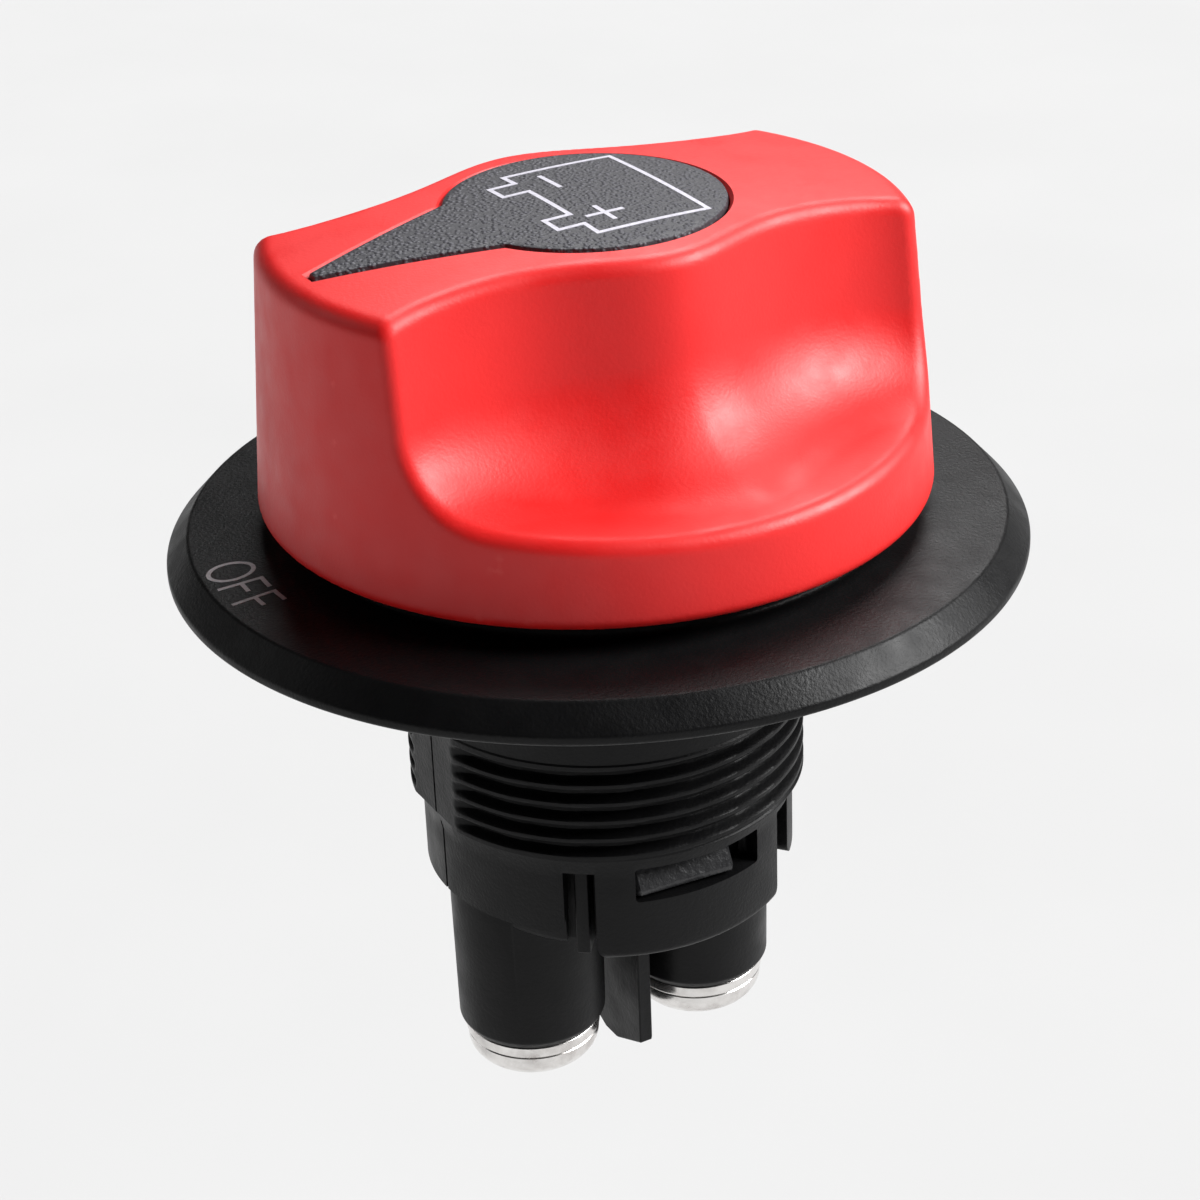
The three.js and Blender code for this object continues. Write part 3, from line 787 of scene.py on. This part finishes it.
def housing_profile():
    """The housing's section: skirt, thread, flange with the gasket's groove, collar and inner wall."""
    thread_rows = np.arange(THREAD_LOW - 0.1, THREAD_TOP + 0.5, THREAD_PITCH / 22)
    lower = soften([
        (CHAMBER_R, TAB_LOW, 0.3),
        (SKIRT_R, TAB_LOW, 0.9),
        *[(SKIRT_R, z) for z in np.linspace(TAB_LOW + 1.5, THREAD_LOW - 2.0, 14)],
        (SKIRT_R + 0.3, THREAD_LOW - 0.5, 0.6),
    ], closed=False)
    upper = soften([
        (NECK_R - 0.1, THREAD_TOP + 0.6),
        (NECK_R - 0.1, LIP_Z, 0.8),
        (GROOVE_R, LIP_Z, 0.3),
        (GROOVE_R, GASKET_TOP + 0.3, 0.2),
        (GASKET_R + 0.3, GASKET_TOP + 0.3, 0.2),
        (GASKET_R + 0.3, LIP_Z, 0.25),
        (FLANGE_R, LIP_Z, 0.45),
        (FLANGE_R, LIP_Z + 0.85, 0.5),
        (BEVEL_R, FLANGE_TOP, 0.55),
        (COLLAR_R, FLANGE_TOP_INNER, 0.5),
        (COLLAR_R, COLLAR_TOP, 0.6),
        (SHAFT_HOLE_R, COLLAR_TOP, 0.3),
        (SHAFT_HOLE_R, CEILING, 0.3),
        (CHAMBER_R, CEILING, 0.5),
        (CHAMBER_R, TAB_LOW + 0.5),
    ], closed=False)
    return [*lower, *[(NECK_R, z) for z in thread_rows], *upper]


def slot_outline(tab_side, corner=1.3):
    """A slot with rounded corners where it runs out below: at the tab's end and at the side wall's end."""
    half = SLOT_WIDTH / 2

    def run_out(sign, low):
        points = []
        for a in np.linspace(0, math.pi / 2, 7):
            across = half + corner - corner * math.cos(a)
            points.append((sign * across, low + corner - corner * math.sin(a)))
        return points

    right, left = run_out(1, TAB_LOW), run_out(-1, SKIRT_LOW)
    deep = TAB_LOW - 2
    outline = [(-half, SLOT_TOP), (half, SLOT_TOP), *right]
    outline += [(half + corner, deep), (-half - corner, deep), *left[::-1]]
    return [(tab_side * u, v) for u, v in outline]


def skirt_cutters(side):
    """What is cut from one side of the neck and skirt: two slots, a window and the mould's parting lines."""
    cutters = []
    for tab_side in (-1, 1):
        radii = (CHAMBER_R - 1, SKIRT_R + 1)
        slot = layers("slot", [slot_outline(tab_side)] * 2, lambda u, v, i: (u, radii[i], v))
        cutters.append(moved(slot, turn=side + tab_side * SLOT_ANGLE))
    x0, x1, z0, z1 = WINDOW
    window = box_object("window", (x0, CHAMBER_R - 1, z0), (x1, SKIRT_R + 1, z1), 0.3)
    cutters.append(moved(window, turn=side))
    for wall, low, high in (
        (THREAD_FLAT, THREAD_LOW - 1, LIP_Z - 0.4),
        (SKIRT_R, SKIRT_LOW - 1, THREAD_LOW - 1.1),
    ):
        seam = box_object("seam", (wall - SEAM_DEPTH, -SEAM_HALF, low), (NECK_R + 1, SEAM_HALF, high))
        cutters.append(moved(seam, turn=side))
    return cutters


def build_housing():
    shell = revolve("housing_shell", housing_profile(), 384, thread_warp)
    combine(shell, merged("cutters", skirt_cutters(0) + skirt_cutters(math.pi)))
    tab_half = SKIRT_R * math.sin(SLOT_ANGLE)
    beyond = 20
    for side in (-1, 1):
        xs = sorted((side * tab_half, side * beyond))
        low, high = (xs[0], -beyond, TAB_LOW - 1), (xs[1], beyond, SKIRT_LOW)
        combine(shell, box_object("step", low, high))
    finish_piece(shell, black, "housing", "housing_plastic", "housing")


def build_gasket():
    """A flat ring with two grooves round its underside."""
    inner = 19.0
    section = [(inner, 0, 0.3), (GASKET_R, 0, 0.3), (GASKET_R, GASKET_TOP, 0.2), (inner, GASKET_TOP, 0.2)]
    gasket = revolve("gasket_ring", soften(section), 192)
    grooves = []
    for r in (22.0, 30.0):
        groove = [(r - 0.6, -0.5), (r + 0.6, -0.5), (r + 0.3, 0.35, 0.1), (r - 0.3, 0.35, 0.1)]
        grooves.append(revolve("groove", soften(groove), 192))
    combine(gasket, merged("grooves", grooves))
    finish_piece(gasket, seal, "housing", "seal_rubber", "flange_gasket")


def letter(shape, x):
    """A letter's strokes, 4 units high with its foot at 0, starting at x."""
    if shape == "O":
        turns = np.linspace(0, 2 * math.pi, 40, endpoint=False)
        return [([(x + 1.6 + 1.6 * math.cos(a), 2 + 2 * math.sin(a)) for a in turns], True)]
    if shape == "F":
        return [([(x, 0), (x, 4), (x + 2.1, 4)], False), ([(x + 0.1, 2.15), (x + 1.75, 2.15)], False)]
    return [([(x, 0), (x, 4), (x + 2.5, 0), (x + 2.5, 4)], False)]


def build_label(name, text, middle):
    """A word printed round the flange's top with its foot towards the rim, read from outside the flange."""
    widths = {"O": 4.2, "F": 3.1, "N": 3.2}
    total = sum(widths[c] for c in text) - 1.0
    scale = 0.92
    foot = BEVEL_R - 0.75
    x = -total / 2
    lines = []
    for character in text:
        for points, closed in letter(character, x):
            lines.append((resampled(points, 0.6, closed), closed))
        x += widths[character]
    slope = (FLANGE_TOP_INNER - FLANGE_TOP) / (BEVEL_R - COLLAR_R)

    def on_flange(u, v):
        radius = foot - v * scale
        angle = middle + u * scale / (foot - 2)
        height = FLANGE_TOP + slope * (BEVEL_R - radius)
        return Vector((radius * math.cos(angle), radius * math.sin(angle), height))

    label = strokes(name, lines, 0.4, on_flange, height=0.03)
    finish_piece(label, label_ink, "housing", "housing_plastic")


# --------------------------------------------------------------- terminal base

def fin():
    """The divider between the terminals, with bevelled edges and a pointed foot."""
    outline = soften([
        (-FIN_HALF, FLOOR_LOW + 0.5), (-FIN_HALF, FIN_LOW + 2, 0.3), (-1, FIN_LOW, 0.6),
        (1, FIN_LOW, 0.6), (FIN_HALF, FIN_LOW + 2, 0.3), (FIN_HALF, FLOOR_LOW + 0.5)])
    spans = [(-0.65, 0.12), (-0.53, 0.0), (0.53, 0.0), (0.65, 0.12)]

    def place(u, v, i):
        x, inset = spans[i]
        return (x, u * (1 - inset / FIN_HALF), v + (inset if v < FIN_LOW + 3 else 0))

    return layers("fin", [outline] * len(spans), place)


def boxes_round(name, low, high, turns, bevel=0.0):
    """The same box at several turns about Z."""
    return merged(name, [moved(box_object(name, low, high, bevel), turn=turn) for turn in turns])


def rods_at_terminals(name, radius, low, high, sides):
    """A rod at each terminal."""
    profile = [(0, low), (radius, low), (radius, high), (0, high)]
    return merged(name, [moved(revolve(name, profile, sides), x=side * TERMINAL_X) for side in (-1, 1)])


def build_base():
    """Guide wall, floor, barrels and fin, with keyways inside and a rib between two hollows at each slot."""
    plug = revolve("base_body", soften([
        (0, FLOOR_LOW), (PLUG_R, FLOOR_LOW, 0.6), (PLUG_R, GUIDE_TOP, 0.3), (GUIDE_R, GUIDE_TOP, 0.3),
        (GUIDE_R, FLOOR_TOP, 0.8), (0, FLOOR_TOP)], closed=False), 128)
    low, high = (-2, GUIDE_R - 1, KEYWAY_LOW), (2, PLUG_R + 1, GUIDE_TOP + 1)
    combine(plug, boxes_round("keyways", low, high, (0, math.pi)))
    slot_turns = [side + tilt for side in (0, math.pi) for tilt in (-SLOT_ANGLE, SLOT_ANGLE)]
    low, high = (-1.7, GUIDE_R + 0.4, FLOOR_LOW - 1), (1.7, PLUG_R + 1, SLOT_TOP + 0.8)
    combine(plug, boxes_round("hollows", low, high, slot_turns))
    low, high = (-0.6, GUIDE_R + 0.1, FLOOR_LOW + 0.2), (0.6, RIB_OUT, SLOT_TOP + 0.4)
    combine(plug, boxes_round("ribs", low, high, slot_turns, 0.15), "UNION")
    barrel_top = SKIRT_LOW - 0.3
    for side in (-1, 1):
        barrel = revolve("barrel", soften([
            (0, BARREL_END), (BARREL_R - 0.75, BARREL_END, 0.15), (BARREL_R - 0.15, BARREL_END + 0.8, 0.6),
            (BARREL_R, barrel_top, 0.4), (0, barrel_top)], closed=False), 96)
        combine(plug, moved(barrel, x=side * TERMINAL_X), "UNION")
    combine(plug, fin(), "UNION")
    bore_top = POST_SHOULDER + 0.3
    combine(plug, rods_at_terminals("bores", POST_R + 0.3, BARREL_END - 1, bore_top, 64))
    combine(plug, rods_at_terminals("necks", POST_NECK_R + 0.3, bore_top - 0.5, FLOOR_TOP + 1, 48))
    finish_piece(plug, base_black, "housing", "base_plastic", "terminal_base")
    build_hook("snap_hook_front", math.pi)
    build_hook("snap_hook_rear", 0.0)


def build_hook(name, turn):
    """A snap hook that fills most of its window: a steep face outwards and a flat catch below."""
    wall = PLUG_R - 0.6
    catch = -2.7
    face = soften([
        (0, 0), (HOOK_OUT - 1.1, 0, 0.2), (HOOK_OUT, catch + 0.5, 0.5), (HOOK_OUT, catch, 0.2), (0, catch),
    ], closed=False)
    start, end = HOOK_SPAN
    ends = [(start, 0.3), (start + 0.3, 0.0), (end - 0.3, 0.0), (end, 0.3)]

    def place(u, v, i):
        x, inset = ends[i]
        radius = wall + u if u > 0 else wall - 0.6
        out = math.sqrt(radius**2 - x * x)
        return (x, out - (inset if u > 1 else 0), WINDOW[3] - 0.3 + v)

    hook = layers(name, [face] * len(ends), place)
    finish_piece(moved(hook, turn=turn), hook_black_painted_highlight, "housing", "base_plastic")


# ------------------------------------------------------------ terminal hardware

def screw_thread(crest, root, pitch, low, high):
    """Warp that cuts a thread into the rows of a shank between two heights."""

    def warp(radius, height, turn):
        shank = (np.abs(radius - crest) < 0.02) & (height > low) & (height < high)
        wave = np.abs(((height / pitch + turn / (2 * math.pi)) % 1) - 0.5) * 2
        depth = (crest - root) * np.clip((wave - 0.15) / 0.75, 0, 1)
        fade = np.clip((high - height) / pitch, 0, 1) * np.clip((height - low) / pitch, 0, 1)
        return np.where(shank, radius - depth * fade, radius), height

    return warp


def cross_cutter(depth_z, reach_xy, top_z):
    """A tapered cross, cut from below, for a cross-head driver."""
    half_width, taper = 0.55, (0.55, 0.7)
    arms = []
    for turn in (0, math.pi / 2):
        outlines = []
        for long, wide in ((reach_xy, half_width), (reach_xy * taper[0], half_width * taper[1])):
            outlines.append([(-long, -wide), (long, -wide), (long, wide), (-long, wide)])
        arm = layers("arm", outlines, lambda u, v, i: (u, v, (top_z, depth_z)[i]))
        arms.append(moved(arm, turn=turn))
    first, second = arms
    combine(first, second, "UNION")
    return first


def build_screw(end, x):
    """A domed screw head, with a cross recess from below, and a threaded shank above it."""
    dome_r, head_r, crest, root = 3.4, WASHER_R - 0.1, 2.65, 2.2
    edge = 0.12
    height = HEAD_TOP - SCREW_LOW
    dome = []
    for a in np.linspace(0, math.pi / 2, 13):
        radius = head_r - dome_r + dome_r * math.sin(a)
        dome.append((radius, SCREW_LOW + (height - 0.5) * (1 - math.cos(a))))
    tip = SCREW_TOP - 0.6
    shank_rows = [(crest, z) for z in np.arange(HEAD_TOP + 0.6, tip, 0.09)]
    profile = [(0, SCREW_LOW), *dome, (head_r, HEAD_TOP - edge), (head_r - edge, HEAD_TOP), (crest, HEAD_TOP)]
    profile += [*shank_rows, (crest, tip), (2.1, SCREW_TOP), (0, SCREW_TOP)]
    thread = screw_thread(crest, root, 1.0, HEAD_TOP + 0.8, tip)
    screw = revolve(f"screw_{end}", profile, 96, thread)
    combine(screw, cross_cutter(SCREW_LOW + 2.0, 2.6, SCREW_LOW - 0.5))
    node = f"terminal_screw_{end}"
    finish_piece(moved(screw, x=x), nickel, node, "nickel_plate", node)


def build_washer(end, x):
    hole = 3.2
    section = [(hole, WASHER_LOW, 0.15), (WASHER_R, WASHER_LOW, 0.22)]
    section += [(WASHER_R, WASHER_SEAT, 0.12), (hole, WASHER_SEAT, 0.1)]
    washer = revolve(f"washer_{end}", soften(section), 96)
    node = f"terminal_washer_{end}"
    finish_piece(moved(washer, x=x), nickel, node, "nickel_plate", node)


def build_post(end, x):
    """A brass post with a blind bore from below and a narrower neck through the base's floor."""
    post = revolve(f"post_{end}", soften([
        (0, POST_BORE_TOP), (POST_BORE_R, POST_BORE_TOP), (POST_BORE_R, BARREL_END + 0.3),
        (POST_BORE_R + 0.3, BARREL_END), (POST_R, BARREL_END, 0.25), (POST_R, POST_SHOULDER, 0.3),
        (POST_NECK_R, POST_SHOULDER, 0.2), (POST_NECK_R, POST_TOP, 0.2), (0, POST_TOP)], closed=False), 64)
    finish_piece(moved(post, x=x), brass, "housing", "post_brass", f"terminal_post_{end}")


# ---------------------------------------------------------------- inner pieces

def build_spring(name, node, body, turns, wire):
    """A wound spring with closed ends, in the space of its CAD node."""
    low, high = reach(node, 2, top=False), reach(node, 2)
    radius = (reach(node, 0) - reach(node, 0, top=False)) / 2 - wire
    steps, sides = turns * 40, 12
    dead_turns, dead_rise = 0.75, wire * 0.4
    points = []
    for k in range(steps + 1):
        turned = turns * k / steps
        start_rise = min(turned, dead_turns) / dead_turns * dead_rise
        rise = np.clip((turned - dead_turns) / (turns - 2 * dead_turns), 0, 1)
        z = low + wire + start_rise + rise * (high - low - 2 * wire - dead_rise)
        a = 2 * math.pi * turned
        out = np.array([math.cos(a), math.sin(a), 0])
        for s in range(sides):
            b = 2 * math.pi * s / sides
            points.append(out * (radius + wire * math.cos(b)) + np.array([0, 0, z + wire * math.sin(b)]))
    faces = grid_faces(steps + 1, sides, False)
    faces.append(tuple(range(sides))[::-1])
    faces.append(tuple(range(len(points) - sides, len(points))))
    spring = make_object(name, points, faces, 60)
    return finish_piece(spring, steel, body, "spring_steel", node)


def build_inside():
    """Materials for the inner CAD pieces, and the two springs."""
    for node, material in (
        ("drive_shaft", ivory), ("contact_carriage", ivory), ("knob_screw", nickel), ("shaft_seal", seal),
        ("contact_bridge", copper), ("moving_contact_a", silver), ("moving_contact_b", silver),
        ("fixed_contact_a", silver), ("fixed_contact_b", silver),
    ):
        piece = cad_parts[node]
        piece.data.materials.clear()
        piece.data.materials.append(material)
    build_spring("contact_spring_wire", "contact_spring", "contact_carriage", 5, 0.4)
    spring = build_spring("return_spring_wire", "return_spring", "housing", 7, 0.35)
    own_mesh(spring)


# --------------------------------------------------------------- camera, light

def build_camera():
    """Seen from 27 degrees above and 29 degrees to the left of the front, rolled 2 degrees."""
    azimuth = math.radians(CAMERA_TURN)
    across = Vector((math.cos(azimuth), math.sin(azimuth), 0))
    away = Vector((-math.sin(azimuth), math.cos(azimuth), 0))
    up = Vector((0, 0, 1))
    place = across * -0.05 + away * -215.8 + up * (LIP_Z + 104.8)
    look = away * 0.8889 - up * 0.4582
    right = across * 0.99922 - away * 0.01815 - up * 0.0352
    back = -look.normalized()
    right = (right - back * right.dot(back)).normalized()
    turn = Matrix((right, back.cross(right), back)).transposed().to_4x4()
    camera = bpy.data.objects.new("camera", bpy.data.cameras.new("camera"))
    camera.matrix_world = Matrix.Translation(place * MM) @ turn
    camera.data.lens = 85.5
    camera.data.sensor_width = 36
    camera.data.clip_start = 0.01
    bpy.context.scene.collection.objects.link(camera)
    bpy.context.scene.camera = camera


def soft_light(name, side, height, spread, strength):
    """A far, wide disc of light. side is how many degrees it stands to the camera's right."""
    light = bpy.data.lights.new(name, "SUN")
    light.angle = math.radians(spread)
    light.energy = strength
    obj = bpy.data.objects.new(name, light)
    bpy.context.scene.collection.objects.link(obj)
    turn, lift = math.radians(side + CAMERA_TURN), math.radians(height)
    out = Vector((math.sin(turn) * math.cos(lift), -math.cos(turn) * math.cos(lift), math.sin(lift)))
    obj.matrix_world = out.to_track_quat("Z", "Y").to_matrix().to_4x4()


def build_floor():
    z = SCREW_LOW - 90
    half = 30000.0
    corners = [(-half, -half, z), (half, -half, z), (half, half, z), (-half, half, z)]
    floor = make_object("floor", corners, [(0, 1, 2, 3)])
    n = Nodes("floor_paper")
    n.colour(n.blend(n.noise(60, detail=3), (0.54, 0.54, 0.54), (0.57, 0.57, 0.57)))
    n.shader.inputs["Roughness"].default_value = 0.9
    floor.data.materials.append(n.material)


def build_world():
    """A dark room, so that black plastic stays black, with a pale backdrop behind everything."""
    world = bpy.data.worlds.new("studio")
    world.use_nodes = True
    tree = world.node_tree
    room = tree.nodes["Background"]
    backdrop = tree.nodes.new("ShaderNodeBackground")
    for background, strength in ((room, 0.02), (backdrop, 0.95)):
        background.inputs["Color"].default_value = (1, 1, 1, 1)
        background.inputs["Strength"].default_value = strength
    seen = tree.nodes.new("ShaderNodeLightPath")
    mixed = tree.nodes.new("ShaderNodeMixShader")
    tree.links.new(seen.outputs["Is Camera Ray"], mixed.inputs[0])
    tree.links.new(room.outputs[0], mixed.inputs[1])
    tree.links.new(backdrop.outputs[0], mixed.inputs[2])
    tree.links.new(mixed.outputs[0], tree.nodes["World Output"].inputs["Surface"])
    bpy.context.scene.world = world


build_camera()
build_knob()
build_housing()
build_gasket()
build_label("label_off", "OFF", math.radians(176.8))
build_label("label_on", "ON", math.radians(90))
build_base()
for end, x in (("a", -TERMINAL_X), ("b", TERMINAL_X)):
    build_screw(end, x)
    build_washer(end, x)
    build_post(end, x)
build_inside()
build_floor()
build_world()
soft_light("key", side=88, height=36, spread=33, strength=5.7)
soft_light("side", side=-105, height=25, spread=28, strength=0.16)
soft_light("back", side=168, height=46, spread=33, strength=2.0)
bpy.context.scene.view_settings.view_transform = "Standard"
